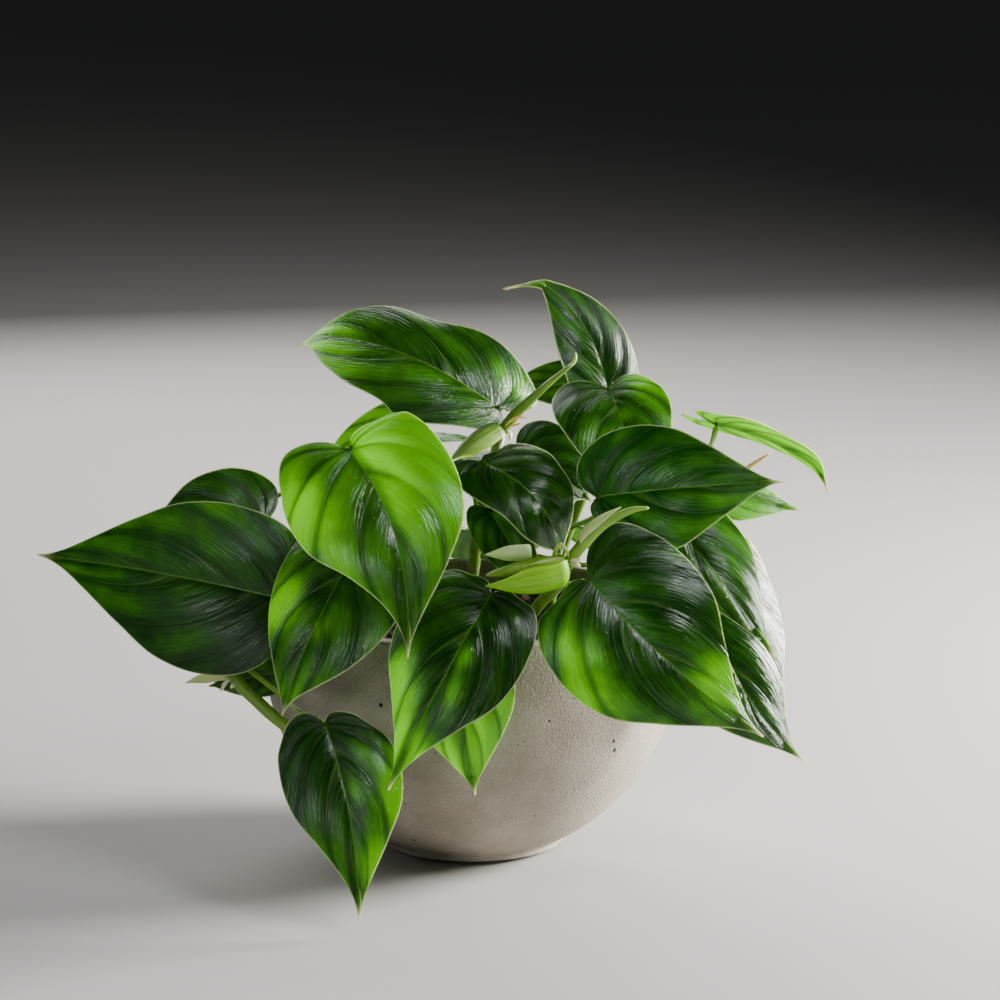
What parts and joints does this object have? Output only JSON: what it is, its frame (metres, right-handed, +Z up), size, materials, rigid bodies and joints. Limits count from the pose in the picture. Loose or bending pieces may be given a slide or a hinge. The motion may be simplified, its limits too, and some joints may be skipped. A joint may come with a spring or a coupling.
{
  "type": "potted heartleaf philodendron",
  "caption": "Heartleaf philodendron with arching and trailing heart-shaped leaves, rooted in soil in a round concrete bowl on a low foot.",
  "frame": {"origin": "middle of the underside of the pad that the pot stands on", "axes": "+Z up; -Y towards the side that the wide leaves face; +X to the right seen from that side"},
  "size_m": [0.3325, 0.2566, 0.2382],
  "materials": {
    "pad": "matte",
    "pot": "matte",
    "soil": "matte",
    "stem": "satin",
    "leaf": "gloss",
    "sheath": "satin",
    "rolled_leaf": "satin"
  },
  "bodies": {
    "root": {"base_pad": "pad", "pot": "pot", "soil": "soil", "stem_left": "stem", "stem_front": "stem", "stem_centre": "stem", "stem_upper": "stem", "stem_right": "stem", "stem_right_low": "stem", "stem_back": "stem", "stem_back_left": "stem", "leaf_left_wide": "leaf", "leaf_left_behind": "leaf", "leaf_left_front": "leaf", "leaf_bright": "leaf", "leaf_upper_left": "leaf", "leaf_top": "leaf", "leaf_upper_heart": "leaf", "leaf_right_glossy": "leaf", "leaf_right_edge_on": "leaf", "leaf_right_small": "leaf", "leaf_right_middle": "leaf", "leaf_right_wide": "leaf", "leaf_right_low": "leaf", "leaf_front": "leaf", "leaf_front_small": "leaf", "leaf_lowest": "leaf", "leaf_centre_glossy": "leaf", "leaf_hazy": "leaf", "leaf_centre_low": "leaf", "leaf_upper_dark": "leaf", "leaf_behind_bright": "leaf", "leaf_left_under": "leaf", "leaf_back_low_1": "leaf", "leaf_back_low_2": "leaf", "leaf_back_low_3": "leaf", "leaf_back_low_4": "leaf", "leaf_back_low_5": "leaf", "leaf_back_high_1": "leaf", "leaf_back_high_2": "leaf", "leaf_back_high_3": "leaf", "sheath_front": "sheath", "sheath_front_small": "sheath", "sheath_tip": "sheath", "sheath_left": "sheath", "sheath_upper": "sheath", "rolled_leaf": "rolled_leaf"}
  },
  "joints": []
}
